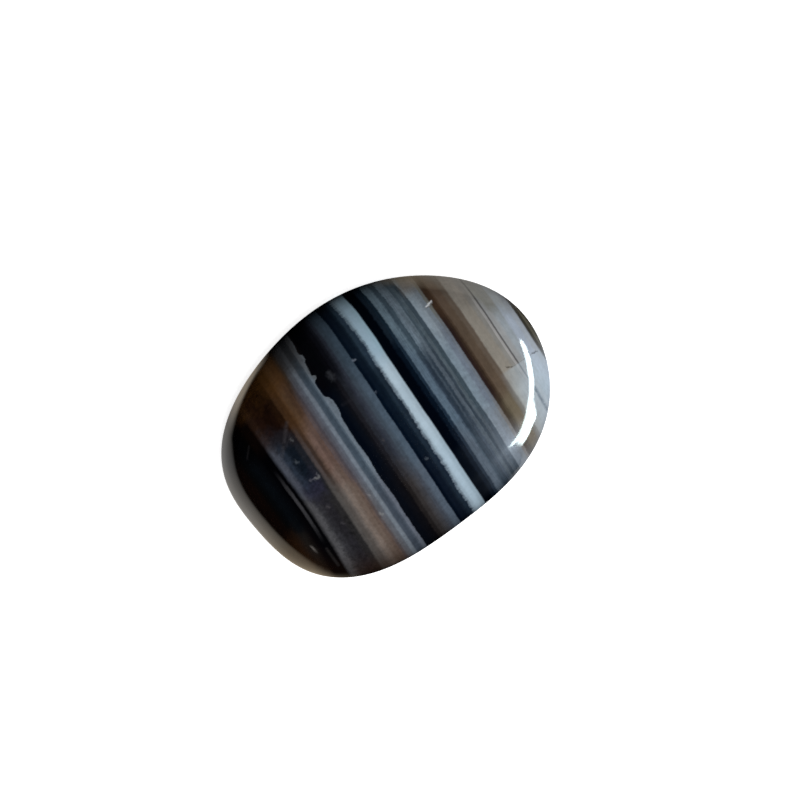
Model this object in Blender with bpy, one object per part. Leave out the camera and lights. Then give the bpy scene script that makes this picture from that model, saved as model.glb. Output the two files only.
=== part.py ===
"""A sulemani agate: one polished oval cabochon of banded black, white, brown and grey stone.

The stone is cut from one piece. Its outline is a hand-ground oval, its top a high smooth dome and its
back a flat polished face with a small bevel. Metres, +Z up. The stone lies on its flat back with the
origin under its middle, +X along its length towards the grey and white end of the bands.
"""
import math

import bmesh
import bpy
from mathutils import Vector

# Driving dimensions
HALF_LENGTH = 0.00918      # half the oval along X, before the hand-ground waves of the outline
HALF_WIDTH = 0.00690       # half the oval along Y, before the waves
DOME_HEIGHT = 0.00418      # the dome's crown above the girdle, its widest line
WALL_HEIGHT = 0.00085      # the low upright wall under the girdle
BEVEL = 0.00035            # the bevel between the wall and the back, as high as it is wide
WALL_DRAFT = 0.00006       # how far the wall leans in from the girdle down to the bevel

# The ways in which the hand-ground outline leaves a true oval:
# lobes round the stone, depth as a share of the radius, place of the first lobe in degrees
OUTLINE_WAVES = (
    (3, 0.0180, -16.0),    # egg shape, one end broader than the other
    (4, 0.0211, 49.0),     # squared shoulders
    (5, 0.0132, 11.0),     # flats left by the grinding wheel
)

# Fineness of the faceted surface
OUTLINE_STEPS = 96
DOME_STEPS = 20

STONE_COLOUR = (0.075, 0.085, 0.105, 1.0)
STONE_ROUGHNESS = 0.06
STONE_IOR = 1.54
CREASE_ANGLE = math.radians(28.0)


def clear_scene():
    for old in list(bpy.data.objects):
        bpy.data.objects.remove(old, do_unlink=True)


def outline_reach(turn):
    """Radius of the outline at an angle round the stone, as a share of the true oval's radius."""
    return 1.0 + sum(depth * math.cos(lobes * (turn - math.radians(first)))
                     for lobes, depth, first in OUTLINE_WAVES)


def outline_points():
    """The widest line of the stone seen from above, anticlockwise, centred on its own box."""
    points = []
    for step in range(OUTLINE_STEPS):
        turn = 2.0 * math.pi * step / OUTLINE_STEPS
        reach = outline_reach(turn)
        points.append(Vector((HALF_LENGTH * reach * math.cos(turn), HALF_WIDTH * reach * math.sin(turn))))
    middle = Vector([(min(p[axis] for p in points) + max(p[axis] for p in points)) / 2.0 for axis in (0, 1)])
    return [point - middle for point in points]


def inset_points(points, inset):
    """The outline moved inwards by one distance all round."""
    moved = []
    for index, point in enumerate(points):
        along = points[(index + 1) % len(points)] - points[index - 1]
        inwards = Vector((-along.y, along.x)).normalized()
        moved.append(point + inwards * inset)
    return moved


def add_ring(bm, points, height):
    return [bm.verts.new((point.x, point.y, height)) for point in points]


def join_rings(bm, lower, upper):
    count = len(lower)
    for index in range(count):
        after = (index + 1) % count
        bm.faces.new((lower[index], lower[after], upper[after], upper[index]))


def stone_mesh():
    """Back face, bevel, wall and dome as rings of the outline, closed by the crown."""
    bm = bmesh.new()
    outline = outline_points()
    girdle_height = BEVEL + WALL_HEIGHT

    back_edge = add_ring(bm, inset_points(outline, BEVEL + WALL_DRAFT), 0.0)
    wall_foot = add_ring(bm, inset_points(outline, WALL_DRAFT), BEVEL)
    ring = add_ring(bm, outline, girdle_height)
    bm.faces.new(list(reversed(back_edge)))
    join_rings(bm, back_edge, wall_foot)
    join_rings(bm, wall_foot, ring)

    for step in range(1, DOME_STEPS):
        rise = 0.5 * math.pi * step / DOME_STEPS
        upper = add_ring(bm, [point * math.cos(rise) for point in outline],
                         girdle_height + DOME_HEIGHT * math.sin(rise))
        join_rings(bm, ring, upper)
        ring = upper
    crown = bm.verts.new((0.0, 0.0, girdle_height + DOME_HEIGHT))
    for index in range(OUTLINE_STEPS):
        bm.faces.new((ring[index], ring[(index + 1) % OUTLINE_STEPS], crown))

    mesh = bpy.data.meshes.new("agate_cabochon")
    bm.to_mesh(mesh)
    bm.free()
    mesh.shade_smooth()
    mesh.set_sharp_from_angle(angle=CREASE_ANGLE)
    return mesh


def stone_material():
    material = bpy.data.materials.new("polished_banded_agate")
    material.use_nodes = True
    shader = material.node_tree.nodes["Principled BSDF"]
    shader.inputs["Base Color"].default_value = STONE_COLOUR
    shader.inputs["Roughness"].default_value = STONE_ROUGHNESS
    shader.inputs["Metallic"].default_value = 0.0
    shader.inputs["IOR"].default_value = STONE_IOR
    return material


def main():
    clear_scene()
    stone = bpy.data.objects.new("agate_cabochon", stone_mesh())
    stone.data.materials.append(stone_material())
    bpy.context.scene.collection.objects.link(stone)


main()
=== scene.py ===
"""A polished sulemani agate cabochon, lying on its flat back on a white table under soft studio light."""
import math
from types import SimpleNamespace

import bmesh
import bpy
from mathutils import Matrix, Vector


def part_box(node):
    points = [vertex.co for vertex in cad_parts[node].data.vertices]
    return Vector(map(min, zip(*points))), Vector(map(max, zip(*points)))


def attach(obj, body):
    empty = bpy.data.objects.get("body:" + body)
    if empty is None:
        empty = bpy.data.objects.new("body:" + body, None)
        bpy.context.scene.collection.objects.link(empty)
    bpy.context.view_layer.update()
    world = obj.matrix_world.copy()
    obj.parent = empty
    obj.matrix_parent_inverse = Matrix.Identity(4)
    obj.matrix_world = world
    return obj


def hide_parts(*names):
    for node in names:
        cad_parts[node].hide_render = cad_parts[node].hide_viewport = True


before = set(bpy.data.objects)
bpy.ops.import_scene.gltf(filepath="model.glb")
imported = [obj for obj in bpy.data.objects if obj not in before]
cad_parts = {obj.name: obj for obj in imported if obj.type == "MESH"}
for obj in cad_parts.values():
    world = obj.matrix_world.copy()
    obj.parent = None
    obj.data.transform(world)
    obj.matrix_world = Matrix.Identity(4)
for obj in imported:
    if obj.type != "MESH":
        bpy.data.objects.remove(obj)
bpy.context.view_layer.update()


# The stone: one piece of natural banded agate, sawn across its layers so that they stand upright in
# it, ground to a hand-made oval with a high dome and a bevelled flat back, and polished all over.
# Its lengths here are in metres, and the layers further down are measured in millimetres.

low_corner, high_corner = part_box("agate_cabochon")
STONE_HEIGHT = high_corner.z - low_corner.z

HALF_LENGTH = 0.00918
HALF_WIDTH = 0.00690
WALL_HEIGHT = 0.00085
BEVEL = 0.00035
WALL_LEAN = 0.00006
DOME_HEIGHT = STONE_HEIGHT - WALL_HEIGHT - BEVEL

# How the hand-ground outline leaves a true oval: lobes round the stone, name, depth, first lobe in degrees
OUTLINE_WAVES = (
    (3, "Egg Shape", 0.0180, -16.0),
    (4, "Square Shoulders", 0.0211, 49.0),
    (5, "Wheel Flats", 0.0132, 11.0),
)

STEPS_ROUND = 400
DOME_RINGS = 150
WALL_RINGS = 6
BEVEL_RINGS = 3
BACK_RINGS = 22
EDGE_ROUNDING = 0.00007
EDGE_SEGMENTS = 3
EDGE_ANGLE = 25.0           # degrees: a sharper turn than this is an edge that gets rounded
WELD_GAP = 1e-7
POLISH_SWELL = 0.0000035    # the polished skin is never quite even
SWELL_SCALE = 420.0
SWELL_DETAIL = 1.0


def join(tree, value, socket):
    """Feeds a socket with another node's output, or with a plain value."""
    if isinstance(value, bpy.types.NodeSocket):
        tree.links.new(value, socket)
    else:
        socket.default_value = value


def feed(tree, node, feeds):
    """Feeds a node's sockets, by their names."""
    for name, value in feeds.items():
        join(tree, value, node.inputs[name])


def wired(tree, kind, feeds):
    """A new node with its sockets fed."""
    node = tree.nodes.new(kind)
    feed(tree, node, feeds)
    return node


def reckon(tree, operation, *values):
    """One step of arithmetic on single numbers."""
    node = tree.nodes.new("ShaderNodeMath")
    node.operation = operation
    for value, socket in zip(values, node.inputs):
        join(tree, value, socket)
    return node.outputs["Value"]


def reckon_vector(tree, operation, first, second=None, scale=None):
    """One step of arithmetic on three numbers at once."""
    node = tree.nodes.new("ShaderNodeVectorMath")
    node.operation = operation
    join(tree, first, node.inputs[0])
    if second is not None:
        join(tree, second, node.inputs[1])
    if scale is not None:
        join(tree, scale, node.inputs["Scale"])
    return node.outputs["Value" if operation in ("LENGTH", "DOT_PRODUCT") else "Vector"]


def live(sockets, name=None):
    """The sockets that a node shows for its kind of data, or only those of one name."""
    return [socket for socket in sockets if socket.enabled and name in (None, socket.name)]


def placed(name, data):
    """A new object in the scene, with this mesh, lamp or camera in it."""
    thing = bpy.data.objects.new(name, data)
    bpy.context.scene.collection.objects.link(thing)
    return thing


def share_of(tree, ring, first_ring, ring_count):
    """How far a ring lies through one stretch of the profile, from 0 to 1."""
    past = reckon(tree, "SUBTRACT", ring, first_ring)
    share = reckon(tree, "DIVIDE", past, ring_count)
    share.node.use_clamp = True
    return share


def shaped(tree, geometry, kind, feeds):
    """The geometry that comes out of one more node."""
    return wired(tree, kind, {"Geometry": geometry, **feeds}).outputs["Geometry"]


def new_finish(name):
    """A new material, with its node tree and its shader."""
    material = bpy.data.materials.new(name)
    material.use_nodes = True
    tree = material.node_tree
    return material, tree, tree.nodes["Principled BSDF"]


def cabochon_tree(material):
    """The cutter's rule for the stone: rings of the outline up the dome, down the wall and under the back."""
    tree = bpy.data.node_groups.new("cabochon_rule", "GeometryNodeTree")
    sizes = {
        "Half Length": HALF_LENGTH, "Half Width": HALF_WIDTH, "Dome Height": DOME_HEIGHT,
        "Wall Height": WALL_HEIGHT, "Bevel": BEVEL, "Wall Lean": WALL_LEAN, "Polish Swell": POLISH_SWELL,
        **{name: depth for _, name, depth, _ in OUTLINE_WAVES},
        "Steps Round": STEPS_ROUND, "Dome Rings": DOME_RINGS, "Wall Rings": WALL_RINGS,
        "Bevel Rings": BEVEL_RINGS, "Back Rings": BACK_RINGS,
    }
    for name, size in sizes.items():
        kind = "NodeSocketInt" if isinstance(size, int) else "NodeSocketFloat"
        tree.interface.new_socket(name=name, in_out="INPUT", socket_type=kind)
    tree.interface.new_socket(name="Stone", in_out="OUTPUT", socket_type="NodeSocketGeometry")
    given = tree.nodes.new("NodeGroupInput").outputs

    # A flat grid whose columns go round the stone and whose rows go from the crown to the back's middle
    wall_from = given["Dome Rings"]
    bevel_from = reckon(tree, "ADD", wall_from, given["Wall Rings"])
    back_from = reckon(tree, "ADD", bevel_from, given["Bevel Rings"])
    all_rings = reckon(tree, "ADD", back_from, given["Back Rings"])
    grid = wired(tree, "GeometryNodeMeshGrid", {
        "Vertices X": reckon(tree, "ADD", given["Steps Round"], 1.0),
        "Vertices Y": reckon(tree, "ADD", all_rings, 1.0),
    })
    position = tree.nodes.new("GeometryNodeInputPosition")
    place = wired(tree, "ShaderNodeSeparateXYZ", {"Vector": position.outputs["Position"]})
    turn = reckon(tree, "MULTIPLY_ADD", place.outputs["X"], 2.0 * math.pi, math.pi)
    row = reckon(tree, "MULTIPLY", reckon(tree, "ADD", place.outputs["Y"], 0.5), all_rings)
    ring = reckon(tree, "ROUND", row)

    # The outline, an oval with its hand-ground waves, centred on its own box
    reach = 1.0
    for lobes, name, _, first in OUTLINE_WAVES:
        wave = reckon(tree, "COSINE", reckon(tree, "MULTIPLY_ADD", turn, lobes, -lobes * math.radians(first)))
        reach = reckon(tree, "MULTIPLY_ADD", given[name], wave, reach)
    outline = tree.nodes.new("ShaderNodeCombineXYZ")
    for axis, size, swing in (("X", "Half Length", "COSINE"), ("Y", "Half Width", "SINE")):
        radius = reckon(tree, "MULTIPLY", given[size], reach)
        join(tree, reckon(tree, "MULTIPLY", radius, reckon(tree, swing, turn)), outline.inputs[axis])
    extent = wired(tree, "GeometryNodeAttributeStatistic", {"Geometry": grid.outputs["Mesh"]})
    extent.data_type = "FLOAT_VECTOR"
    join(tree, outline.outputs["Vector"], live(extent.inputs, "Attribute")[0])
    least = live(extent.outputs, "Min")[0]
    most = live(extent.outputs, "Max")[0]
    middle = reckon_vector(tree, "SCALE", reckon_vector(tree, "ADD", least, most), scale=0.5)
    outline_point = reckon_vector(tree, "SUBTRACT", outline.outputs["Vector"], middle)

    # The profile: how far in and how high each ring lies
    rise = reckon(tree, "MULTIPLY", share_of(tree, ring, 0.0, wall_from), 0.5 * math.pi)
    down_wall = share_of(tree, ring, wall_from, given["Wall Rings"])
    down_bevel = share_of(tree, ring, bevel_from, given["Bevel Rings"])
    across_back = share_of(tree, ring, back_from, given["Back Rings"])
    inset = reckon(tree, "ADD", reckon(tree, "MULTIPLY", given["Wall Lean"], down_wall),
                   reckon(tree, "MULTIPLY", given["Bevel"], down_bevel))
    inset_share = reckon(tree, "DIVIDE", inset, reckon_vector(tree, "LENGTH", outline_point))
    width = reckon(tree, "MULTIPLY", reckon(tree, "SINE", rise), reckon(tree, "SUBTRACT", 1.0, across_back))
    width = reckon(tree, "MULTIPLY", width, reckon(tree, "SUBTRACT", 1.0, inset_share))
    above_foot = reckon(tree, "SUBTRACT", 1.0, down_wall)
    above_back = reckon(tree, "SUBTRACT", 1.0, down_bevel)
    height = reckon(tree, "MULTIPLY", reckon(tree, "COSINE", rise), given["Dome Height"])
    height = reckon(tree, "MULTIPLY_ADD", given["Wall Height"], above_foot, height)
    height = reckon(tree, "MULTIPLY_ADD", given["Bevel"], above_back, height)

    # Every point set in its place, the seam and the two ends welded shut
    level = wired(tree, "ShaderNodeCombineXYZ", {"Z": height})
    flat_point = reckon_vector(tree, "SCALE", outline_point, scale=width)
    ring_point = reckon_vector(tree, "ADD", flat_point, level.outputs["Vector"])
    stone = shaped(tree, grid.outputs["Mesh"], "GeometryNodeSetPosition", {"Position": ring_point})
    stone = shaped(tree, stone, "GeometryNodeMergeByDistance", {"Distance": WELD_GAP})

    # The slow swell that hand polishing leaves on the dome, none of it on the back
    swell = wired(tree, "ShaderNodeTexNoise", {"Scale": SWELL_SCALE, "Detail": SWELL_DETAIL})
    uneven = reckon(tree, "SUBTRACT", swell.outputs["Fac"], 0.5)
    lift = reckon(tree, "MULTIPLY", reckon(tree, "MULTIPLY", uneven, given["Polish Swell"]), above_foot)
    normal = tree.nodes.new("GeometryNodeInputNormal")
    offset = reckon_vector(tree, "SCALE", normal.outputs["Normal"], scale=lift)
    stone = shaped(tree, stone, "GeometryNodeSetPosition", {"Offset": offset})

    stone = shaped(tree, stone, "GeometryNodeSetShadeSmooth", {})
    stone = shaped(tree, stone, "GeometryNodeRealizeInstances", {})
    stone = shaped(tree, stone, "GeometryNodeSetMaterial", {"Material": material})
    wired(tree, "NodeGroupOutput", {"Stone": stone})
    return tree, sizes


# The layers' own frame: across them towards the pale end, along them towards the stone's lower side, and up
LAYER_TURN = math.radians(1.92)
MM = 1000.0

# How the layers run, in mm. They stand almost upright in the middle and lean outwards towards the ends, curl
# in the lower corner of the black end, bend by the upper edge and waver a little. A pair of places says
# where something sets in and where it is full; with three, it lasts from the first to the second, and the
# third says how soft its ends are.
LEAN_AT_MIDDLE = 0.005
LEAN_GAIN = 0.0008
CURL_ACROSS = (-5.0, -6.0)
CURL_ALONG = (2.0, 6.0)
CURL = 0.24
RIM_DEPTH = (1.4, 3.2)
RIM_ALONG = (-2.0, -3.5)
RIM_ACROSS = (-1.2, 4.7, 0.6)
RIM_BEND = 0.16
WAVER = 0.10

# The layers' grains, or noises: scale in turns for each mm and detail, and where they matter roughness and
# how much finer it runs across, along and up
WAVER_GRAIN = (0.45, 1.0)
RAGGED_GRAIN = (5.5, 4.0, 0.6, (0.6, 1.0, 1.0))

# The layers in the order they cross the stone, from the black end to the pale end: name, where it starts
# on the dome's middle line, how soft its first edge is and how ragged, all in mm, and its colours in the
# stone's upper side, its middle and its lower side, as they look on a screen, from 0 to 255
END_COLOURS = ((3, 1, 2), (12, 5, 3), (31, 17, 7))
LAYERS = (
    ("smoky black", -7.59, 0.40, 0.10, (2, 1, 1), (4, 5, 6), (34, 21, 12)),
    ("navy black", -7.29, 0.45, 0.10, (1, 1, 2), (6, 10, 14), (27, 24, 22)),
    ("coal", -6.84, 0.45, 0.10, (2, 1, 1), (4, 5, 8), (6, 4, 6)),
    ("jet black", -6.56, 0.25, 0.10, (12, 5, 3), (1, 1, 3), (3, 3, 5)),
    ("grey violet line", -6.00, 0.26, 0.08, (45, 29, 20), (72, 76, 86), (78, 78, 81)),
    # The lower-side colours of the violet haze, the blue black and the dusky black are partly painted shadow,
    # kept darker along the stone's lower side
    ("violet haze", -5.64, 0.31, 0.15, (34, 19, 13), (40, 48, 60), (47, 47, 51)),
    ("blue black", -5.30, 0.37, 0.25, (27, 14, 8), (18, 25, 34), (35, 34, 38)),
    ("dusky black", -4.78, 0.25, 0.20, (36, 21, 11), (31, 33, 39), (38, 37, 38)),
    ("pale thread", -4.42, 0.17, 0.12, (66, 45, 28), (76, 68, 67), (77, 74, 72)),
    ("dark thread", -4.22, 0.13, 0.10, (68, 46, 27), (59, 47, 41), (80, 75, 72)),
    ("brown", -4.02, 0.18, 0.12, (84, 60, 39), (93, 75, 66), (97, 90, 86)),
    ("red brown", -3.89, 0.15, 0.20, (87, 65, 47), (108, 88, 80), (112, 101, 94)),
    ("dull brown", -3.64, 0.20, 0.20, (77, 57, 43), (93, 75, 68), (100, 87, 79)),
    ("mauve brown", -3.36, 0.10, 0.15, (66, 50, 39), (88, 77, 77), (93, 79, 72)),
    ("mauve grey", -3.19, 0.12, 0.12, (62, 54, 47), (74, 69, 74), (82, 74, 74)),
    ("lilac grey", -3.05, 0.12, 0.12, (76, 76, 78), (83, 84, 92), (89, 90, 95)),
    ("blue grey", -2.89, 0.15, 0.12, (80, 83, 88), (89, 94, 104), (87, 91, 98)),
    ("bright blue grey", -2.75, 0.12, 0.08, (95, 101, 108), (111, 120, 131), (106, 114, 123)),
    ("grey step", -2.54, 0.13, 0.05, (60, 68, 75), (69, 81, 93), (64, 72, 83)),
    ("dark slate stripe", -2.41, 0.08, 0.05, (56, 65, 73), (63, 75, 87), (60, 68, 79)),
    ("slate step", -2.23, 0.08, 0.05, (64, 72, 80), (79, 92, 104), (72, 80, 91)),
    ("bright slate stripe", -2.14, 0.10, 0.05, (98, 104, 110), (105, 116, 127), (92, 98, 109)),
    ("black behind the ragged front", -1.945, 0.09, 0.10, (5, 5, 9), (3, 8, 18), (7, 10, 17)),
    ("soft black", -1.60, 0.25, 0.20, (5, 6, 10), (8, 12, 20), (11, 12, 17)),
    ("brown black", -1.34, 0.25, 0.20, (6, 7, 11), (15, 16, 21), (13, 12, 15)),
    ("dusk", -1.17, 0.12, 0.20, (9, 9, 14), (27, 27, 32), (31, 28, 28)),
    ("purple grey", -0.95, 0.15, 0.15, (16, 17, 23), (38, 41, 48), (47, 44, 44)),
    ("grey dusk", -0.72, 0.15, 0.15, (26, 28, 35), (44, 48, 58), (57, 56, 58)),
    ("dark slate", -0.58, 0.15, 0.15, (42, 46, 56), (53, 59, 69), (60, 61, 66)),
    ("slate", -0.40, 0.15, 0.15, (55, 66, 77), (61, 71, 82), (62, 67, 76)),
    ("blue slate", -0.17, 0.25, 0.15, (60, 74, 87), (72, 86, 100), (78, 89, 102)),
    ("night blue", 0.20, 0.10, 0.08, (7, 18, 31), (3, 13, 27), (2, 9, 22)),
    ("lighter night blue", 0.38, 0.20, 0.12, (15, 25, 37), (12, 22, 34), (12, 20, 32)),
    ("dark blue", 0.70, 0.15, 0.12, (23, 35, 47), (17, 28, 39), (20, 29, 40)),
    ("blue thread", 0.81, 0.12, 0.10, (42, 57, 71), (31, 43, 55), (27, 38, 50)),
    ("dull blue", 0.97, 0.06, 0.06, (39, 54, 69), (28, 39, 51), (25, 36, 50)),
    ("milk edge", 1.11, 0.12, 0.30, (110, 128, 142), (110, 124, 136), (106, 120, 132)),
    ("milk", 1.225, 0.12, 0.25, (148, 171, 186), (150, 168, 180), (145, 163, 176)),
    ("white", 1.295, 0.15, 0.15, (160, 186, 203), (168, 187, 200), (162, 182, 196)),
    ("cool white", 1.61, 0.22, 0.05, (153, 181, 196), (156, 174, 186), (147, 166, 179)),
    ("jet black line", 1.825, 0.11, 0.03, (1, 5, 13), (1, 4, 12), (1, 5, 14)),
    ("blue jet", 2.35, 0.15, 0.20, (24, 35, 46), (8, 18, 30), (14, 22, 33)),
    ("ink blue", 2.58, 0.06, 0.15, (23, 38, 50), (28, 42, 56), (32, 42, 54)),
    ("steel", 2.745, 0.10, 0.10, (97, 115, 127), (83, 100, 115), (79, 90, 102)),
    ("dark steel", 3.14, 0.15, 0.15, (63, 78, 90), (52, 64, 78), (58, 71, 83)),
    ("deep steel", 3.23, 0.08, 0.15, (64, 79, 90), (42, 53, 65), (48, 59, 70)),
    ("steel thread", 3.42, 0.08, 0.20, (99, 114, 126), (62, 73, 84), (52, 62, 73)),
    ("dull steel thread", 3.53, 0.08, 0.25, (108, 122, 134), (45, 56, 67), (62, 72, 84)),
    ("steel streak", 3.67, 0.10, 0.25, (100, 114, 125), (77, 87, 97), (75, 85, 94)),
    ("dull steel", 3.87, 0.09, 0.12, (74, 88, 98), (51, 61, 71), (50, 60, 70)),
    ("grey steel", 4.02, 0.09, 0.12, (80, 93, 102), (77, 88, 96), (73, 82, 91)),
    ("last dark thread", 4.18, 0.08, 0.12, (64, 77, 87), (60, 73, 82), (67, 77, 87)),
    ("light blue grey", 4.41, 0.10, 0.08, (141, 155, 166), (118, 133, 145), (119, 129, 139)),
    ("pale blue grey", 4.63, 0.20, 0.15, (139, 151, 161), (118, 132, 144), (119, 128, 138)),
    ("lavender grey", 4.80, 0.12, 0.15, (123, 133, 142), (106, 116, 129), (115, 122, 129)),
    ("warm fringe", 5.04, 0.10, 0.08, (112, 114, 110), (107, 114, 123), (114, 112, 110)),
    ("bitter brown line", 5.20, 0.10, 0.08, (62, 47, 36), (41, 30, 28), (68, 59, 48)),
    ("bitter chestnut", 5.39, 0.10, 0.12, (66, 50, 38), (51, 40, 32), (78, 70, 57)),
    ("chestnut", 5.51, 0.10, 0.12, (83, 67, 54), (70, 57, 46), (93, 85, 70)),
    ("tan brown", 5.60, 0.08, 0.10, (95, 80, 68), (87, 74, 62), (105, 96, 80)),
    ("pale brown", 6.03, 0.15, 0.15, (96, 86, 76), (95, 84, 74), (107, 102, 93)),
    ("grey beige", 6.30, 0.14, 0.08, (138, 133, 125), (141, 136, 127), (148, 147, 140)),
    ("smoky beige", 6.90, 0.20, 0.20, (126, 123, 118), (136, 135, 131), (145, 146, 144)),
    ("pale hairline", 7.12, 0.06, 0.03, (130, 129, 123), (158, 157, 156), (158, 160, 162)),
    ("dark hairline", 7.245, 0.05, 0.03, (88, 88, 84), (98, 98, 98), (112, 116, 120)),
    ("clear grey", 7.335, 0.06, 0.03, (133, 133, 126), (154, 156, 157), (162, 168, 172)),
    ("clear blue grey", 7.63, 0.30, 0.20, (138, 139, 134), (158, 167, 174), (154, 172, 184)),
    ("clear blue", 7.99, 0.12, 0.12, (152, 158, 160), (172, 183, 197), (156, 176, 190)),
    ("smoke", 8.38, 0.12, 0.12, (148, 154, 160), (172, 180, 189), (160, 174, 186)),
    ("dark olive end", 8.64, 0.10, 0.03, (62, 60, 52), (70, 68, 60), (70, 68, 60)),
    ("olive end", 8.80, 0.08, 0.03, (100, 96, 82), (112, 108, 94), (112, 108, 94)),
)

# Drawn curves run over this length, with its middle on the stone's, and are this high and this low
CURVE_LENGTH = 16.0
EDGE_HEIGHT = 0.5
FAN_HEIGHT = 0.05
SIDE_HEIGHT = 2.0

# The bright stripe's torn front: place along the layers and how far the edge stands forwards there, in mm
TORN_LAYER = "black behind the ragged front"
TORN_FRONT = (
    (-8.0, 0.0), (-5.75, 0.08), (-5.33, 0.00), (-5.02, 0.15), (-4.80, 0.13), (-4.70, 0.03), (-4.10, -0.03),
    (-3.97, -0.04), (-3.82, 0.13), (-3.70, 0.10), (-3.52, -0.11), (-3.10, -0.13), (-2.72, -0.11),
    (-2.48, 0.10), (-1.98, 0.17), (-1.55, 0.11), (-1.15, 0.02), (-0.40, 0.00), (0.20, -0.02), (1.10, 0.02),
    (2.30, -0.03), (3.40, 0.01), (4.60, -0.02), (8.0, 0.0),
)

# How far the white layer's frayed edge stands out towards the black end, from the stone's upper side to its
# lower side, in mm
FRAYED_LAYERS = ("milk edge", "milk")
FRAYED_EDGE = (
    (-8.0, 0.10), (-6.0, 0.07), (-4.9, 0.03), (-4.6, 0.015), (-4.3, -0.015), (-3.95, -0.01), (-3.66, -0.05),
    (-3.35, 0.015), (-2.9, 0.015), (-2.2, 0.0), (-1.5, -0.01), (-0.85, -0.012), (-0.5, -0.043), (0.0, -0.05),
    (0.8, -0.03), (1.36, 0.02), (1.67, 0.045), (2.0, 0.025), (2.3, -0.005), (2.6, 0.04), (2.93, 0.04),
    (3.24, -0.02), (3.56, 0.02), (3.87, 0.01), (4.2, 0.03), (4.5, 0.06), (5.5, 0.07), (8.0, 0.07),
)

# Curves drawn across the layers, from the black end to the pale end, in mm. How much the layers fan out:
# their shift for each mm along them. And how much nearer the middle (-) or the edge (+) the upper side's
# colours begin.
FAN = (
    (-8.0, -0.037), (-6.2, -0.037), (-5.0, -0.002), (-4.5, 0.009), (-3.9, 0.005), (-2.9, -0.002),
    (1.5, -0.002), (3.5, 0.002), (8.0, 0.002),
)
SIDE_START = (
    (-8.0, 0.0), (-4.8, 0.0), (-4.3, -0.65), (-3.9, -0.60), (-3.5, 0.2), (-3.2, 1.3), (-2.9, 1.9),
    (-2.15, 1.9), (-1.9, 0.4), (2.9, 0.4), (3.3, -0.5), (4.6, -0.45), (5.3, 0.4), (7.2, 0.3),
    (7.6, -0.6), (8.0, -0.8),
)

# Where the layers take their side colours, in mm along them: the upper ones by the stain at the black end
# and by a dimming elsewhere, the lower ones sooner in the black end. The stain's clouds push these lines
# about.
BLOTCH_GRAIN = (0.9, 4.0, 0.55)
BLOTCH_REACH = 2.2
BLACK_END = (-2.6, -3.6)
STAIN_ALONG = (-1.2, -3.3)
DIM_ALONG = (-1.5, -3.2)
LOWER_ALONG = (1.65, 3.35)
SOONER_UP_TO = (-6.3, -6.7)
SOONER_BY = 1.35

# The patches that lie over the layers: name, what it follows and its marks, the second thing it follows and
# its marks, how strong it is and its colour on a screen
HAZE_ACROSS = (-5.78, -4.57, 0.25)
PATCHES = (
    ("grey lens", "lens_edge", (-6.36, -6.20, 0.10), "along", (0.0, 2.7, 2.2), 0.90, (62, 62, 65)),
    ("purple haze", "layered", HAZE_ACROSS, "cloudy_line", (-2.7, -1.5, 0.9), 0.65, (33, 31, 35)),
    ("violet haze", "layered", HAZE_ACROSS, "cloudy_line", (0.4, 1.8, 0.9), 0.65, (42, 42, 58)),
    ("golden rim of the stain", "cloudy_line", (-3.8, -5.2), "across", (-2.9, -3.5), 0.50, (92, 60, 24)),
    ("smoke beside it", "cloudy_line", (-4.2, -5.6), "across", (-3.2, -1.9, 0.4), 0.60, (38, 32, 28)),
    ("beige edge of the pale blue", "along", (-4.3, -5.2), "across", (4.3, 5.2, 0.4), 0.75, (134, 124, 112)),
)
LENS_RAGGEDNESS = 0.08

# The black end is browner along its lower edge, low on the dome, less so in one stretch of it
BROWNING_UP = (3.8, 2.2)
BROWNING_ALONG = (2.6, 4.2)
BROWNING_STRENGTH = 0.6
WEAKER_BROWNING_ACROSS = (-6.9, -5.9, 0.5)
WEAKER_BROWNING = -0.4
LOWER_EDGE_BROWN = (42, 25, 13)

# The clearer stone below the crack, clearest towards the stone's lower side
CLEAR_ACROSS = (6.0, 6.9)
CLEAR_ALONG = (1.38, 1.56)
CLEAR_UP_TO = (8.75, 8.50)
CLEARER_ALONG = (1.6, 3.0)
CLEARNESS = 0.38
MORE_CLEARNESS = 0.25
CLEAR_GREY = (172, 186, 196)

# Streaks along the layers, soft clouds and a fine mottle: each one's grain, how deep it goes as a share of
# the colour, and how much more or less of it there is in some zones of the layers
ZONES = {"white": (1.2, 1.85, 0.1), "steel": (2.60, 4.40, 0.30), "haze": HAZE_ACROSS, "pale end": (4.2, 6.4)}
SHADES = (
    ("streaks", (1.0, 3.0, 0.6, (13.0, 0.8, 0.8)), 0.25, {"steel": 0.65, "white": -0.17}),
    ("clouds", (1.1, 4.0), 0.50, {"white": -0.38}),
    ("mottle", (5.0, 3.0, 0.6), 0.70, {"haze": 0.90, "pale end": -0.40, "white": -0.45}),
)
# The white layer is brightest in this stretch along it, by this share
WHITEST_ALONG = (-2.6, -1.0, 0.9)
WHITEST = 0.12

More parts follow.
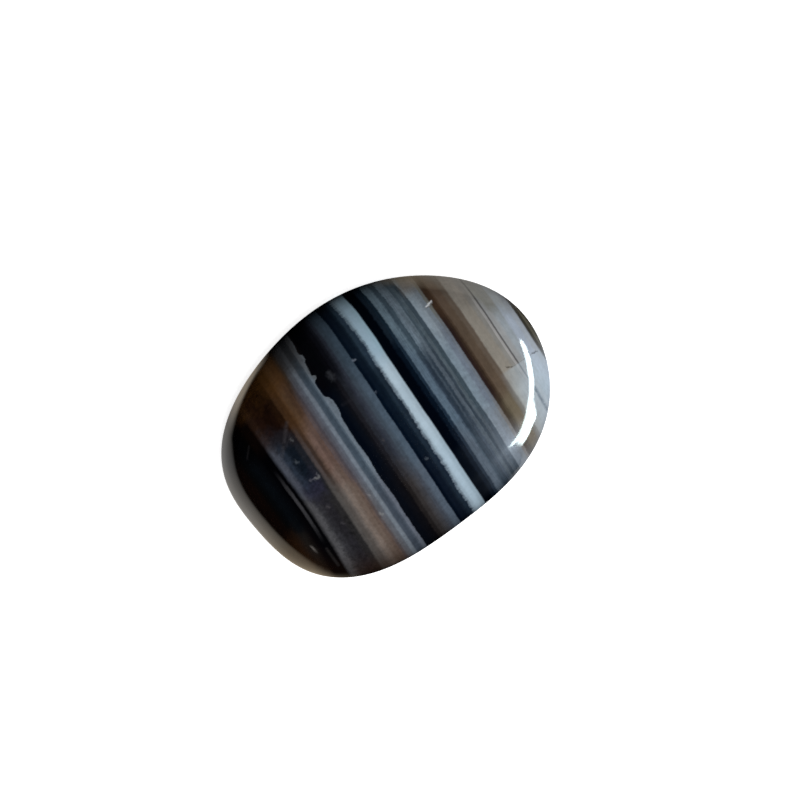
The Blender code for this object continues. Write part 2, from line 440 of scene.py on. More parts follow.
# Small marks in and on the stone, seen from above: name, start and end of the stroke (across and along the
# layers) and half its width, all in mm, then how strongly it shows and its colour on a screen
MARKS = (
    # The first five specks, in the blue black near the black end, are painted glints: light caught in small
    # pits, painted pale
    ("speck near the black end", (-4.74, -1.82), (-4.68, -1.74), 0.055, 0.37, (120, 122, 124)),
    ("speck in the blue black", (-5.16, -0.72), (-5.10, -0.60), 0.070, 0.27, (110, 118, 125)),
    ("bright speck", (-4.76, 0.60), (-4.62, 0.62), 0.070, 0.46, (135, 135, 134)),
    ("speck above it", (-4.60, 0.42), (-4.56, 0.52), 0.050, 0.40, (120, 120, 125)),
    ("tail of the bright speck", (-5.06, 0.52), (-4.82, 0.56), 0.045, 0.36, (110, 110, 120)),
    ("faint speck", (-5.10, 2.12), (-5.04, 2.22), 0.060, 0.22, (110, 105, 110)),
    ("low speck", (-4.92, 3.24), (-4.86, 3.36), 0.060, 0.15, (110, 105, 110)),
    ("dark speck", (-4.84, 3.96), (-4.74, 4.04), 0.070, 0.55, (8, 8, 10)),
    ("dark speck beside it", (-4.68, 3.42), (-4.62, 3.50), 0.050, 0.38, (12, 12, 14)),
    ("speck on the pale line", (-3.02, 3.96), (-2.95, 4.04), 0.055, 0.28, (170, 170, 165)),
    ("speck on the mauve", (-2.99, 2.80), (-2.95, 2.88), 0.045, 0.35, (140, 138, 140)),
    ("tooth of the slate", (0.22, -3.41), (0.32, -3.40), 0.055, 0.62, (120, 130, 145)),
    ("lower tooth of the slate", (0.22, -1.40), (0.30, -1.38), 0.045, 0.50, (95, 105, 120)),
    ("speck in the night blue", (0.54, 2.90), (0.62, 2.94), 0.055, 0.26, (105, 115, 125)),
    ("speck in the dusk", (-0.80, 0.86), (-0.76, 0.92), 0.050, 0.35, (85, 80, 82)),
    ("cloud in the black", (-1.19, -3.50), (-1.15, -3.26), 0.130, 0.75, (54, 56, 61)),
    ("smear in the black", (-1.50, -1.80), (-0.80, -1.72), 0.070, 0.18, (50, 50, 56)),
    ("scratch over the blue black", (-4.42, -2.63), (-5.60, -1.32), 0.080, 0.15, (100, 96, 100)),
    ("fine scratch beside it", (-4.40, -2.20), (-5.20, -1.55), 0.030, 0.06, (100, 96, 100)),
    ("second lens, below the first", (-6.36, 3.95), (-6.34, 5.00), 0.060, 0.50, (46, 44, 44)),
    ("scratch on the jet", (-7.20, -2.22), (-6.75, -2.72), 0.040, 0.26, (52, 50, 52)),
    ("hairline below the crack", (7.28, 3.0), (7.22, 4.3), 0.075, 0.80, (95, 108, 120)),
    ("crack's first end", (6.62, 1.30), (6.88, 1.45), 0.030, 0.85, (72, 68, 62)),
    ("crack", (6.88, 1.45), (8.20, 1.46), 0.018, 0.45, (96, 95, 90)),
    ("crack's last end", (8.16, 1.45), (8.45, 1.49), 0.032, 0.85, (70, 74, 82)),
)
ON_DOME = (1.0, 1.4)
STROKE_RIM = 2.2       # half widths from a stroke's middle at which it has faded out
LONG_STROKE = 0.5      # from this length on a stroke is ruled straight, and shorter ones are ragged
RAGGED_SCALE = 6.0
RAGGED_BY = 0.22
PATCHY_GRAIN = (7.0, 2.0)
PATCHY_GAIN = 2.4
PATCHY_SHARE = 0.9

# The nick beside the chestnut layer: a shallow chip, painted near-white inside as a painted glint of light
# off it
NICK = ((4.92, -3.60), (5.28, -3.69), 0.048)
NICK_PAINTED_GLINT = (0.9, (215, 218, 222))
NICK_DEPTH = 0.00003
NICK_ROUGHNESS = 0.4

# The glassy polish, a little smeared
AGATE_IOR = 1.54
POLISH_ROUGHNESS = 0.075
SMEAR_GRAIN = (2.0, 4.0)
SMEAR_ROUGHNESS = 0.06


def screen_colour(red, green, blue):
    """A colour as it looks on a screen, 0 to 255, turned into the light that the shader works with."""
    shares = [part / 255.0 for part in (red, green, blue)]
    return (*(part / 12.92 if part <= 0.04045 else ((part + 0.055) / 1.055) ** 2.4 for part in shares), 1.0)


def layer_lean(across):
    """How far the layers lean for each mm down: hardly in the middle of the stone, more towards its ends."""
    return LEAN_AT_MIDDLE + LEAN_GAIN * across * across


def dome_drop(across):
    """How far the dome's middle line has dropped below the crown, in mm."""
    share = min(abs(across) / (HALF_LENGTH * MM), 1.0)
    return DOME_HEIGHT * MM * (1.0 - math.sqrt(1.0 - share * share))


def mix_colour(tree, share, first, second):
    """The first colour where the share is 0, the second where it is 1."""
    node = tree.nodes.new("ShaderNodeMix")
    node.data_type = "RGBA"
    for value, socket in zip((share, first, second), live(node.inputs)):
        join(tree, value, socket)
    return live(node.outputs)[0]


def mix_number(tree, share, first, second):
    """The same for two numbers."""
    return reckon(tree, "MULTIPLY_ADD", share, reckon(tree, "SUBTRACT", second, first), first)


def step_between(tree, value, low, high):
    """0 below the low mark, 1 above the high one, and a smooth rise between."""
    node = wired(tree, "ShaderNodeMapRange", {"Value": value, "From Min": low, "From Max": high})
    node.interpolation_type = "SMOOTHSTEP"
    return node.outputs["Result"]


def both(tree, first, second):
    """1 only where both are, and their product between."""
    return reckon(tree, "MULTIPLY", first, second)


def tinted(tree, colour, where, strength, tint):
    """The colour with a screen colour laid over it in one place."""
    return mix_colour(tree, both(tree, where, strength), colour, screen_colour(*tint))


def grain(tree, place, scale, detail, roughness=0.5, stretch=(1.0, 1.0, 1.0)):
    """Even noise about zero, in the stone's own millimetres."""
    stretched = reckon_vector(tree, "MULTIPLY", place, stretch)
    node = wired(tree, "ShaderNodeTexNoise", {
        "Vector": stretched, "Scale": scale, "Detail": detail, "Roughness": roughness,
    })
    return reckon(tree, "SUBTRACT", node.outputs["Fac"], 0.5)


def stroke(tree, flat_place, start, end, half_width):
    """1 on a straight stroke between two points seen from above, 0 off it, with a soft rim."""
    run = Vector((*end, 0.0)) - Vector((*start, 0.0))
    offset = reckon_vector(tree, "SUBTRACT", flat_place, (*start, 0.0))
    along_run = reckon_vector(tree, "DOT_PRODUCT", offset, tuple(run / run.length_squared))
    along_run = reckon(tree, "ADD", along_run, 0.0)
    along_run.node.use_clamp = True
    nearest = reckon_vector(tree, "SCALE", tuple(run), scale=along_run)
    distance = reckon_vector(tree, "LENGTH", reckon_vector(tree, "SUBTRACT", offset, nearest))
    return step_between(tree, distance, half_width * STROKE_RIM, 0.0)


def window(tree, value, low, high, softness):
    """1 between two marks and 0 outside them, with soft ends."""
    rising = step_between(tree, value, low - softness / 2.0, low + softness / 2.0)
    return both(tree, rising, step_between(tree, value, high + softness / 2.0, high - softness / 2.0))


def within(tree, value, marks):
    """A smooth step from the first mark to the second or, with a softness given too, 1 between them."""
    return (step_between if len(marks) == 2 else window)(tree, value, *marks)


def drawn(tree, place, points, height):
    """The level of a drawn curve at each place."""
    node = tree.nodes.new("ShaderNodeFloatCurve")
    curve = node.mapping.curves[0]
    while len(curve.points) < len(points):
        curve.points.new(0.5, 0.5)
    for point, (where, level) in zip(curve.points, points):
        point.location = (where / CURVE_LENGTH + 0.5, 0.5 * level / height + 0.5)
        point.handle_type = "AUTO_CLAMPED"
    node.mapping.update()
    join(tree, reckon(tree, "MULTIPLY_ADD", place, 1.0 / CURVE_LENGTH, 0.5), node.inputs["Value"])
    return reckon(tree, "MULTIPLY_ADD", node.outputs["Value"], 2.0 * height, -height)


def layer_shares(tree, across, ragged, torn, frayed):
    """For each layer, 0 before its first edge and 1 from there on."""
    shares = []
    for name, start, softness, raggedness, *_ in LAYERS:
        start += layer_lean(start) * dome_drop(start)
        edge = reckon(tree, "MULTIPLY_ADD", ragged, raggedness, across)
        if name == TORN_LAYER:
            edge = reckon(tree, "SUBTRACT", edge, torn)
        if name in FRAYED_LAYERS:
            edge = reckon(tree, "ADD", edge, frayed)
        shares.append(step_between(tree, edge, start - softness / 2.0, start + softness / 2.0))
        shares[-1].node.label = name
    return shares


def laid_colour(tree, shares, side):
    """Lays one coloured layer over another: side 0 is the stone's upper one, 1 its middle, 2 the lower."""
    colour = screen_colour(*END_COLOURS[side])
    for share, (_, _, _, _, *colours) in zip(shares, LAYERS):
        colour = mix_colour(tree, share, colour, screen_colour(*colours[side]))
    return colour


def stone_spot(tree):
    """Where a spot of the stone lies, in mm: across and along the layers, up from the back, and across the
    layers as they really run."""
    own_place = tree.nodes.new("ShaderNodeTexCoord").outputs["Object"]
    place = wired(tree, "ShaderNodeMapping", {
        "Vector": own_place, "Scale": (MM, -MM, MM), "Rotation": (0.0, 0.0, -LAYER_TURN),
    }).outputs["Vector"]
    across, along, up = wired(tree, "ShaderNodeSeparateXYZ", {"Vector": place}).outputs
    spot = SimpleNamespace(place=place, across=across, along=along, up=up)

    depth = reckon(tree, "SUBTRACT", STONE_HEIGHT * MM, up)
    lean = reckon(tree, "MULTIPLY_ADD", both(tree, across, across), LEAN_GAIN, LEAN_AT_MIDDLE)
    leaning = reckon(tree, "MULTIPLY_ADD", depth, lean, across)
    bent = reckon(tree, "MULTIPLY_ADD", along, drawn(tree, across, FAN, FAN_HEIGHT), leaning)
    curl = both(tree, within(tree, across, CURL_ACROSS), within(tree, along, CURL_ALONG))
    bent = reckon(tree, "MULTIPLY_ADD", curl, CURL, bent)
    rim = both(tree, within(tree, depth, RIM_DEPTH), within(tree, along, RIM_ALONG))
    rim = both(tree, rim, within(tree, across, RIM_ACROSS))
    bent = reckon(tree, "MULTIPLY_ADD", rim, RIM_BEND, bent)
    wavering = both(tree, grain(tree, spot.place, *WAVER_GRAIN), WAVER)
    spot.layered = reckon(tree, "ADD", bent, wavering)
    spot.ragged = grain(tree, spot.place, *RAGGED_GRAIN)
    return spot


def sided_layers(tree, spot):
    """The layers' colours, which change towards the long sides, at the black end by a cloudy iron stain."""
    blotch = grain(tree, spot.place, *BLOTCH_GRAIN)
    spot.cloudy_line = reckon(tree, "MULTIPLY_ADD", blotch, BLOTCH_REACH, spot.along)
    spot.black_end = within(tree, spot.across, BLACK_END)
    upper_line = reckon(tree, "ADD", spot.cloudy_line, drawn(tree, spot.across, SIDE_START, SIDE_HEIGHT))
    stain = within(tree, upper_line, STAIN_ALONG)
    dimming = within(tree, upper_line, DIM_ALONG)
    upper_side = mix_number(tree, spot.black_end, dimming, stain)
    sooner = reckon(tree, "SUBTRACT", spot.black_end, within(tree, spot.across, SOONER_UP_TO))
    lower_line = reckon(tree, "MULTIPLY_ADD", sooner, SOONER_BY, spot.cloudy_line)
    lower_side = within(tree, lower_line, LOWER_ALONG)
    torn = drawn(tree, spot.along, TORN_FRONT, EDGE_HEIGHT)
    frayed = drawn(tree, spot.along, FRAYED_EDGE, EDGE_HEIGHT)
    shares = layer_shares(tree, spot.layered, spot.ragged, torn, frayed)
    upper, middle, lower = (laid_colour(tree, shares, side) for side in range(3))
    return mix_colour(tree, lower_side, mix_colour(tree, upper_side, middle, upper), lower)


def patched(tree, spot, colour):
    """The patches, then browner colour along the black end's lower edge and clearer stone below the crack."""
    spot.lens_edge = reckon(tree, "MULTIPLY_ADD", spot.ragged, LENS_RAGGEDNESS, spot.layered)
    for name, first, first_marks, second, second_marks, strength, tint in PATCHES:
        where = both(tree, within(tree, getattr(spot, first), first_marks),
                     within(tree, getattr(spot, second), second_marks))
        colour = tinted(tree, colour, where, strength, tint)
        colour.node.label = name

    browning = both(tree, within(tree, spot.up, BROWNING_UP), within(tree, spot.along, BROWNING_ALONG))
    weaker = within(tree, spot.across, WEAKER_BROWNING_ACROSS)
    browning_depth = reckon(tree, "MULTIPLY_ADD", weaker, WEAKER_BROWNING, BROWNING_STRENGTH)
    browning = both(tree, both(tree, browning, spot.black_end), browning_depth)
    colour = mix_colour(tree, browning, colour, screen_colour(*LOWER_EDGE_BROWN))

    clear = both(tree, within(tree, spot.layered, CLEAR_ACROSS), within(tree, spot.along, CLEAR_ALONG))
    clear = both(tree, clear, within(tree, spot.across, CLEAR_UP_TO))
    further = within(tree, spot.along, CLEARER_ALONG)
    clearer = reckon(tree, "MULTIPLY_ADD", further, MORE_CLEARNESS, CLEARNESS)
    return tinted(tree, colour, clear, clearer, CLEAR_GREY)


def shaded(tree, spot, colour):
    """The colour with its streaks, clouds and mottle."""
    zones = {name: within(tree, spot.layered, marks) for name, marks in ZONES.items()}
    shade = 1.0
    for name, noise, depth, changes in SHADES:
        for zone, change in changes.items():
            depth = reckon(tree, "MULTIPLY_ADD", zones[zone], change, depth)
        shade = reckon(tree, "MULTIPLY_ADD", grain(tree, spot.place, *noise), depth, shade)
        shade.node.label = name
    whitest = both(tree, zones["white"], within(tree, spot.along, WHITEST_ALONG))
    shade = reckon(tree, "MULTIPLY_ADD", whitest, WHITEST, shade)
    return reckon_vector(tree, "SCALE", colour, scale=shade)


def marked(tree, spot, colour):
    """The colour with the dome's specks, scratches, crack and nick, the nick and some specks painted as
    glints of light, and how far a spot lies in the nick.
    """
    noises = wired(tree, "ShaderNodeTexNoise", {"Vector": spot.place, "Scale": RAGGED_SCALE})
    shift = reckon_vector(tree, "SUBTRACT", noises.outputs["Color"], (0.5, 0.5, 0.5))
    shift = reckon_vector(tree, "SCALE", shift, scale=RAGGED_BY)
    shifted = reckon_vector(tree, "ADD", spot.place, shift)
    ragged_place = reckon_vector(tree, "MULTIPLY", shifted, (1.0, 1.0, 0.0))
    ruled_place = reckon_vector(tree, "MULTIPLY", spot.place, (1.0, 1.0, 0.0))
    patchy = reckon(tree, "MULTIPLY_ADD", grain(tree, spot.place, *PATCHY_GRAIN), PATCHY_GAIN, PATCHY_SHARE)
    patchy.node.use_clamp = True
    on_dome = within(tree, spot.up, ON_DOME)
    patchy = both(tree, patchy, on_dome)
    for name, start, end, half_width, strength, mark_colour in MARKS:
        seen_from = ruled_place if math.dist(start, end) > LONG_STROKE else ragged_place
        shown = both(tree, stroke(tree, seen_from, start, end, half_width), patchy)
        colour = tinted(tree, colour, shown, strength, mark_colour)
        colour.node.label = name
    chipped = both(tree, stroke(tree, ragged_place, *NICK), on_dome)
    # The nick's near-white colour is a painted glint of light caught on the chip
    return tinted(tree, colour, chipped, *NICK_PAINTED_GLINT), chipped


def banded_agate():
    """The stone's material: coloured layers with their stains and marks, some marks painted glints, under one
    glassy polish.
    """
    material, tree, shader = new_finish("polished_banded_agate")
    shader.inputs["IOR"].default_value = AGATE_IOR
    spot = stone_spot(tree)
    colour = patched(tree, spot, sided_layers(tree, spot))
    colour = shaded(tree, spot, colour)
    colour, chipped = marked(tree, spot, colour)

    # The nick dents the polish and is rough inside
    unchipped = reckon(tree, "SUBTRACT", 1.0, chipped)
    chip = wired(tree, "ShaderNodeBump", {"Distance": NICK_DEPTH, "Height": unchipped})
    join(tree, chip.outputs["Normal"], shader.inputs["Normal"])
    join(tree, colour, shader.inputs["Base Color"])
    smear = grain(tree, spot.place, *SMEAR_GRAIN)
    smear = reckon(tree, "MULTIPLY_ADD", smear, SMEAR_ROUGHNESS, POLISH_ROUGHNESS)
    join(tree, reckon(tree, "MULTIPLY_ADD", chipped, NICK_ROUGHNESS, smear), shader.inputs["Roughness"])
    return material


stone_finish = banded_agate()
rule, given_sizes = cabochon_tree(stone_finish)
blank = placed("stone_blank", bpy.data.meshes.new("stone_blank"))
cutting = blank.modifiers.new("cutting", "NODES")
cutting.node_group = rule
for item in rule.interface.items_tree:
    if item.in_out == "INPUT":
        cutting[item.identifier] = given_sizes[item.name]
edges = blank.modifiers.new("edges", "BEVEL")
edges.width = EDGE_ROUNDING
edges.segments = EDGE_SEGMENTS
edges.limit_method = "ANGLE"
edges.angle_limit = math.radians(EDGE_ANGLE)
ready = blank.evaluated_get(bpy.context.evaluated_depsgraph_get())
stone_mesh = bpy.data.meshes.new_from_object(ready)
stone_mesh.name = "banded_agate_stone"
bpy.data.objects.remove(blank, do_unlink=True)
stone = placed("banded_agate_stone", stone_mesh)

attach(stone, "root")
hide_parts("agate_cabochon")


# The table: a plain white surface, lit well enough to stay white right up to the stone. It is clear from
# below, so that the stone's back can be looked at.

TABLE_RADIUS = 0.6
TABLE_STEPS = 128
TABLE_DROP = 0.00002
TABLE_FINISH = {
    "Base Color": (0.8, 0.8, 0.8, 1.0), "Roughness": 0.9, "Specular IOR Level": 0.0,
    "Emission Color": (1.0, 1.0, 1.0, 1.0), "Emission Strength": 0.86,
}


def poured(name, shape):
    """Turns a shape in the making into a mesh, and clears it away."""
    mesh = bpy.data.meshes.new(name)
    shape.to_mesh(mesh)
    shape.free()
    return mesh


def white_table():
    """White and shining on its upper side, clear from below."""
    material, tree, shader = new_finish("white_table")
    material.cycles.emission_sampling = "NONE"
    feed(tree, shader, TABLE_FINISH)
    side = tree.nodes.new("ShaderNodeNewGeometry")
    clear_side = tree.nodes.new("ShaderNodeBsdfTransparent")
    one_sided = tree.nodes.new("ShaderNodeMixShader")
    join(tree, side.outputs["Backfacing"], one_sided.inputs[0])
    join(tree, shader.outputs["BSDF"], one_sided.inputs[1])
    join(tree, clear_side.outputs["BSDF"], one_sided.inputs[2])
    feed(tree, tree.nodes["Material Output"], {"Surface": one_sided.outputs["Shader"]})
    return material


disc = bmesh.new()
bmesh.ops.create_circle(disc, cap_ends=True, radius=TABLE_RADIUS, segments=TABLE_STEPS,
                        matrix=Matrix.Translation((0.0, 0.0, -TABLE_DROP)))
table = placed("white_table", poured("white_table", disc))
table.data.materials.append(white_table())


# The light: one big soft lamp over the stone's lower side, which gives the bands their colour, and a long
# low strip standing on the table, which makes the bright arc near the dome's edge, with a soft glow round
# its lower end. The table's light dies away into a dark room, and sooner beside the stone's long sides.

STRIP_DISTANCE = 0.26
STRIP_GLOW = 20.0
POOL_GLOW = 19.0
STRIP_COLOUR = (0.85, 1.0, 1.02)
SOFT_TOP = 0.7         # degrees above and below the strip's top over which its light fades
SOFT_RIM = 0.02        # the same for the rim of its light on the table, as a share of the distance
# The strip's outline as seen from the stone: direction, bottom and top, all in degrees. Its ends fade out.
STRIP_OUTLINE = (
    (-5.6, 3.0, 4.8), (-8.0, 1.0, 6.2), (-12.5, 0.0, 7.3), (-18.0, 0.0, 8.1), (-24.0, 0.0, 9.6),
    (-28.0, 0.0, 8.8), (-33.0, 0.0, 8.9), (-38.0, 0.0, 8.7), (-41.0, 0.0, 9.0), (-45.0, 0.0, 9.0),
    (-48.0, 0.0, 8.0), (-54.0, 0.0, 7.3), (-59.0, 0.0, 7.2), (-62.4, 0.0, 7.8), (-64.7, 4.0, 8.6),
    (-67.2, 7.9, 8.9),
)
SMALL_GLOW = 1.6
SMALL_COLOUR = (1.0, 0.93, 0.88)
SMALL_OUTLINE = ((-156.0, 13.8, 15.4), (-154.0, 12.6, 15.0), (-151.5, 10.6, 13.6), (-147.5, 7.0, 9.0))
# Where the strip's light lies on the table, in metres from the stone's middle
POOL_EDGE = (
    (0.196, -0.171), (0.0398, -0.0328), (0.0237, -0.0209), (0.0129, -0.0117), (0.0126, -0.0127),
    (0.0127, -0.0140), (0.0120, -0.0143), (0.0109, -0.0141), (0.0106, -0.0151), (0.0105, -0.0170),
    (0.0144, -0.0250), (0.0278, -0.0543), (0.115, -0.233),
)
FAR_POOL_EDGE = ((0.256, -0.0440), (0.110, -0.0190), (0.105, -0.0370), (0.246, -0.0840))
# The soft glow round the strip's lower end: direction and strength, then for each row of it the distance in
# mm, the height in degrees and the share of the strength there, first on the table and then standing behind
GLOW_COLOUR = (0.80, 0.93, 1.10)
GLOW_ROUND = (
    (-90.0, 0.0), (-84.0, 0.08), (-80.0, 0.25), (-77.0, 0.7), (-74.5, 1.2), (-71.0, 1.6), (-68.0, 2.4),
    (-64.0, 2.7), (-60.0, 2.7), (-58.0, 2.6), (-55.0, 2.2), (-52.0, 1.4), (-48.0, 0.4), (-44.0, 0.0),
)
TABLE_ROWS = (
    (9.0, 0.0, 0.0), (11.0, 0.0, 0.05), (14.0, 0.0, 0.16), (20.0, 0.0, 0.32), (35.0, 0.0, 0.50),
    (80.0, 0.0, 0.65), (262.0, 0.0, 0.75),
)
STANDING_ROWS = (
    (262.0, 0.0, 0.75), (262.0, 3.0, 0.85), (262.0, 7.0, 1.0), (262.0, 10.0, 1.0), (262.0, 14.0, 0.75),
    (262.0, 18.0, 0.50), (262.0, 22.0, 0.42), (262.0, 28.0, 0.30), (262.0, 38.0, 0.20), (262.0, 50.0, 0.0),
)
TABLE_GLOW_END = -58.0
GLOW_LIFT = 0.000004
POOL_LIFT = 0.000008
# How the table's light fades: direction from the stone in degrees, the share of it that is left beside the
# stone, where it starts and stops to fade, in mm from the stone's middle, and how warm it is, where 1 is
# warmest and less than 0 is cool
FADES = (
    (-180.0, 0.84, 11.0, 50.0, 0.35), (-172.0, 0.80, 13.0, 46.0, 0.60), (-162.0, 0.60, 17.0, 42.0, 0.95),
    (-150.0, 0.62, 11.0, 22.0, 1.00), (-141.0, 0.16, 9.0, 12.0, 1.00), (-132.0, 0.00, 9.0, 12.0, 1.00),
    (-66.0, 0.00, 60.0, 200.0, 0.00), (-58.0, 0.30, 60.0, 200.0, -0.20), (-54.0, 0.42, 60.0, 200.0, -0.40),
    (-50.0, 0.28, 30.0, 80.0, -0.50), (-42.0, 0.34, 30.0, 80.0, -0.50), (-33.0, 0.46, 30.0, 80.0, -0.50),
    (-24.0, 0.62, 30.0, 80.0, -0.70), (-18.0, 0.66, 25.0, 70.0, -0.70), (-5.0, 0.00, 9.0, 14.0, 0.00),
    (3.0, 0.00, 9.0, 14.0, 0.00), (15.0, 0.30, 12.0, 30.0, 0.00), (31.0, 0.48, 12.0, 60.0, 0.30),
    (40.0, 0.38, 12.0, 45.0, 0.60), (46.0, 0.36, 12.0, 40.0, 1.00), (55.0, 0.15, 10.0, 14.0, 0.90),
    (64.0, 0.00, 9.0, 12.0, 0.00), (114.0, 0.00, 8.0, 10.0, 0.60), (124.0, 0.80, 8.8, 10.5, 0.80),
    (133.0, 0.90, 10.0, 13.5, 0.70), (144.0, 0.48, 10.5, 18.0, 0.30), (155.0, 0.57, 9.0, 42.0, 0.10),
    (167.0, 0.73, 10.0, 52.0, 0.25), (180.0, 0.84, 11.0, 50.0, 0.35),
)
GREEN_LOST = 0.17            # of the light where it is warmest
BLUE_LOST = 0.40
STONE_SHADE = 0.5            # the share that is left right beside the stone
STONE_SHADE_REACH = 1.35     # how far out that goes, as a share of the way from the middle to the stone's rim
# The fading sheet's rings, in mm from the stone's middle, and the degrees between its spokes
FADE_RINGS = (
    6.0, 7.0, 8.0, 9.0, 10.0, 11.0, 12.0, 13.0, 14.0, 16.0, 18.0, 20.0, 23.0, 26.0, 30.0, 35.0, 40.0, 50.0,
    60.0, 70.0, 80.0, 600.0,
)
FADE_STEP = 3


def shining():
    """Shines as strongly as the mesh's own colours say."""
    material, tree, shader = new_finish("shining")
    shine = tree.nodes.new("ShaderNodeAttribute")
    shine.attribute_name = "shine"
    feed(tree, shader, {
        "Base Color": (0.0, 0.0, 0.0, 1.0), "Specular IOR Level": 0.0,
        "Emission Strength": 1.0, "Emission Color": shine.outputs["Color"],
    })
    return material


def fading():
    """Lets less light through the greyer the sheet is."""
    material, tree, shader = new_finish("fading")
    tree.nodes.remove(shader)
    light_left = tree.nodes.new("ShaderNodeAttribute")
    light_left.attribute_name = "light_left"
    sheet = wired(tree, "ShaderNodeBsdfTransparent", {"Color": light_left.outputs["Color"]})
    feed(tree, tree.nodes["Material Output"], {"Surface": sheet.outputs["BSDF"]})
    return material


def seen_at(direction, elevation, distance):
    """The place that the stone has in this direction and height, in degrees, and at this distance."""
    around = math.radians(direction)
    return Vector((distance * math.cos(around), distance * math.sin(around),
                   distance * math.tan(math.radians(elevation))))


def behind_the_scenes(mesh, finish):
    """Puts a mesh on the set that the camera misses and that throws no shadow."""
    mesh.materials.append(finish)
    panel = placed(mesh.name, mesh)
    panel.visible_camera = False
    panel.visible_transmission = False
    panel.visible_shadow = False
    return panel


def light_sheet(name, columns, colour, finish, filled=False):
    """A sheet of light: columns of spots, each with its strength, joined up and, if asked, filled inside."""
    shape = bmesh.new()
    shine = shape.verts.layers.float_color.new("shine")
    rows = []
    for column in columns:
        rows.append([shape.verts.new(spot) for spot, _ in column])
        for corner, (_, strength) in zip(rows[-1], column):
            corner[shine] = (*(part * strength for part in colour), 1.0)
    for here, there in zip(rows, rows[1:]):
        for low in range(len(here) - 1):
            shape.faces.new((here[low], there[low], there[low + 1], here[low + 1]))
    if filled:
        inside = shape.faces.new([row[-1] for row in rows])
        bmesh.ops.triangulate(shape, faces=[inside])
    behind_the_scenes(poured(name, shape), finish).visible_diffuse = False


def standing_columns(outline, strength):
    """An upright curved panel round the stone, which fades out at both ends and at its top."""
    columns = []
    for direction, bottom, top in outline:
        full = 0.0 if direction in (outline[0][0], outline[-1][0]) else strength
        levels = ((bottom, full), (max(bottom, top - SOFT_TOP), full), (top + SOFT_TOP, 0.0))
        columns.append([(seen_at(direction, level, STRIP_DISTANCE), shine) for level, shine in levels])
    return columns


def pool_columns(edge, strength):
    """The rim of a patch of light on the table, from its dark outside to its full inside."""
    points = [Vector(point) for point in edge]
    columns = []
    for before, point, after in zip(points[:1] + points, points, points[1:] + points[-1:]):
        run = (after - before).normalized()
        inwards = Vector((-run.y, run.x)) * SOFT_RIM * point.length
        dark_side = (*(point - inwards), POOL_LIFT)
        bright_side = (*(point + inwards), POOL_LIFT)
        columns.append([(dark_side, 0.0), (bright_side, strength)])
    return columns


def glow_columns(stations, rows):
    """The soft glow, whose strength runs smoothly from station to station and from row to row."""
    lift = Vector((0.0, 0.0, GLOW_LIFT))
    return [[(seen_at(direction, height, distance / MM) + lift, strength * share)
             for distance, height, share in rows]
            for direction, strength in stations]


def eased(value, low, high):
    """A smooth rise from 0 at the low mark to 1 at the high one."""
    share = min(max((value - low) / (high - low), 0.0), 1.0)
    return share * share * (3.0 - 2.0 * share)


def stone_edge(direction):
    """The stone's rim in a direction, in mm from its middle."""
    around = math.radians(direction)
    return MM / math.hypot(math.cos(around) / HALF_LENGTH, math.sin(around) / HALF_WIDTH)


def light_left(direction, distance):
    """The table's light left at a place, as a colour, between the two stations next to its direction."""
    for before, after in zip(FADES, FADES[1:]):
        if before[0] <= direction <= after[0]:
            share = (direction - before[0]) / (after[0] - before[0])
            level, start, end, warmth = (one + (other - one) * share
                                         for one, other in zip(before[1:], after[1:]))
    clear_of_stone = eased(distance / stone_edge(direction), 1.0, STONE_SHADE_REACH)
    light = level * (1.0 - eased(distance, start, end))
    light *= STONE_SHADE + (1.0 - STONE_SHADE) * clear_of_stone
    return light, light * (1.0 - GREEN_LOST * warmth), light * (1.0 - BLUE_LOST * warmth), 1.0


bright = shining()
light_sheet("strip_light", standing_columns(STRIP_OUTLINE, STRIP_GLOW), STRIP_COLOUR, bright)
light_sheet("small_light", standing_columns(SMALL_OUTLINE, SMALL_GLOW), SMALL_COLOUR, bright)
light_sheet("strip_pool", pool_columns(POOL_EDGE, POOL_GLOW), STRIP_COLOUR, bright, filled=True)
light_sheet("far_pool", pool_columns(FAR_POOL_EDGE, POOL_GLOW), STRIP_COLOUR, bright, filled=True)
lower_stations = [station for station in GLOW_ROUND if station[0] <= TABLE_GLOW_END]
light_sheet("table_glow", glow_columns(lower_stations, TABLE_ROWS), GLOW_COLOUR, bright)
light_sheet("standing_glow", glow_columns(GLOW_ROUND, STANDING_ROWS), GLOW_COLOUR, bright)

fade_shape = bmesh.new()
left = fade_shape.verts.layers.float_color.new("light_left")
directions = range(-180, 180, FADE_STEP)
rings = []
for ring_distance in FADE_RINGS:
    rings.append([])
    for way in directions:
        distance = max(ring_distance, stone_edge(way))
        spot = seen_at(way, 0.0, distance / MM)
        corner = fade_shape.verts.new((spot.x, spot.y, -0.5 * TABLE_DROP))
        corner[left] = light_left(way, distance)
        rings[-1].append(corner)
for inner, outer in zip(rings, rings[1:]):
    for step in range(len(inner)):
        fade_shape.faces.new((inner[step - 1], outer[step - 1], outer[step], inner[step]))
behind_the_scenes(poured("table_fading", fade_shape), fading())

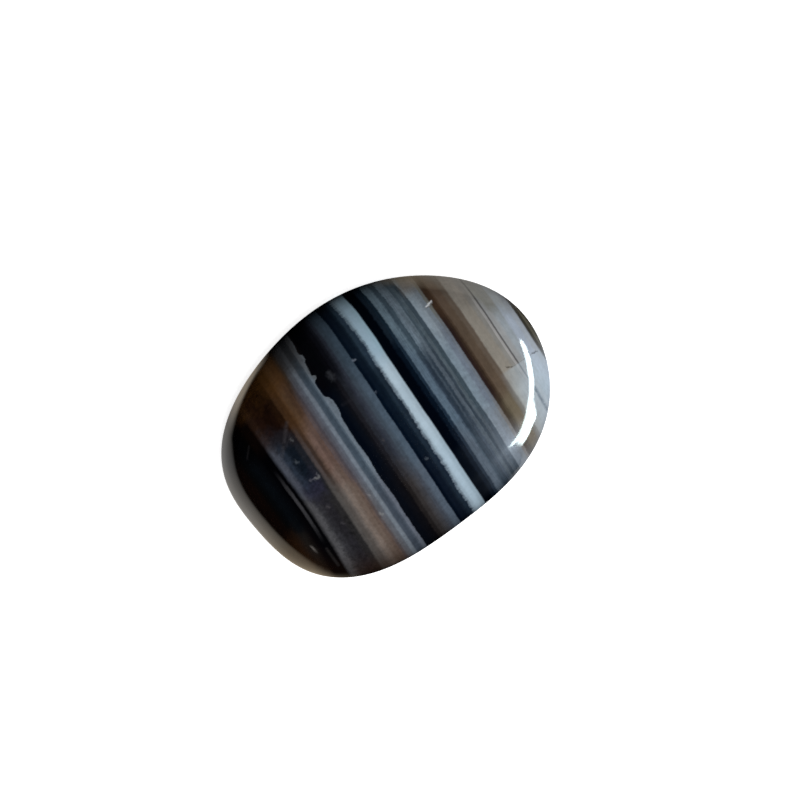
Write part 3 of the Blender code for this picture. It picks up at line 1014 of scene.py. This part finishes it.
LAMP_DISTANCE = 0.35
LAMP_SIZE = 0.30
LAMP_DIRECTION = -75.0
LAMP_LEAN = 24.0
LAMP_POWER = 1.52
lamp_data = bpy.data.lights.new("soft_lamp", "AREA")
lamp_data.shape = "DISK"
lamp_data.size = LAMP_SIZE
lamp_data.energy = LAMP_POWER
lamp = placed("soft_lamp", lamp_data)
towards_lamp = seen_at(LAMP_DIRECTION, 90.0 - LAMP_LEAN, 1.0).normalized()
lamp.location = towards_lamp * LAMP_DISTANCE
lamp.rotation_mode = "QUATERNION"
lamp.rotation_quaternion = towards_lamp.to_track_quat("Z", "Y")
lamp.visible_glossy = False
lamp.visible_camera = False

DARK_ROOM = (0.004, 0.004, 0.005, 1.0)
PALE_ROOM = (1.0, 1.0, 1.0, 1.0)
room = bpy.data.worlds.new("studio_room")
room.use_nodes = True
bpy.context.scene.world = room
looked_at = room.node_tree.nodes.new("ShaderNodeLightPath")
pale_or_dark = mix_colour(room.node_tree, looked_at.outputs["Is Camera Ray"], DARK_ROOM, PALE_ROOM)
feed(room.node_tree, room.node_tree.nodes["Background"], {"Color": pale_or_dark, "Strength": 1.0})


# The camera: straight above the stone and far enough off to keep its outline true, turned so that the
# stone's length rises to the upper right.

FRAME_WIDTH = 0.04184
CAMERA_DISTANCE = 0.30
CAMERA_TURN = -35.68
CENTRE_OF_VIEW = (0.00111, 0.00032)
GIRDLE_HEIGHT = BEVEL + WALL_HEIGHT
SENSOR_WIDTH = 36.0
NEAREST_SEEN = 0.01
FARTHEST_SEEN = 5.0

camera_data = bpy.data.cameras.new("camera")
camera_data.sensor_width = SENSOR_WIDTH
camera_data.lens = SENSOR_WIDTH * CAMERA_DISTANCE / FRAME_WIDTH
camera_data.clip_start = NEAREST_SEEN
camera_data.clip_end = FARTHEST_SEEN
camera = placed("camera", camera_data)
camera.location = (*CENTRE_OF_VIEW, GIRDLE_HEIGHT + CAMERA_DISTANCE)
camera.rotation_euler = (0.0, 0.0, math.radians(CAMERA_TURN))
bpy.context.scene.camera = camera
bpy.context.scene.view_settings.view_transform = "Standard"
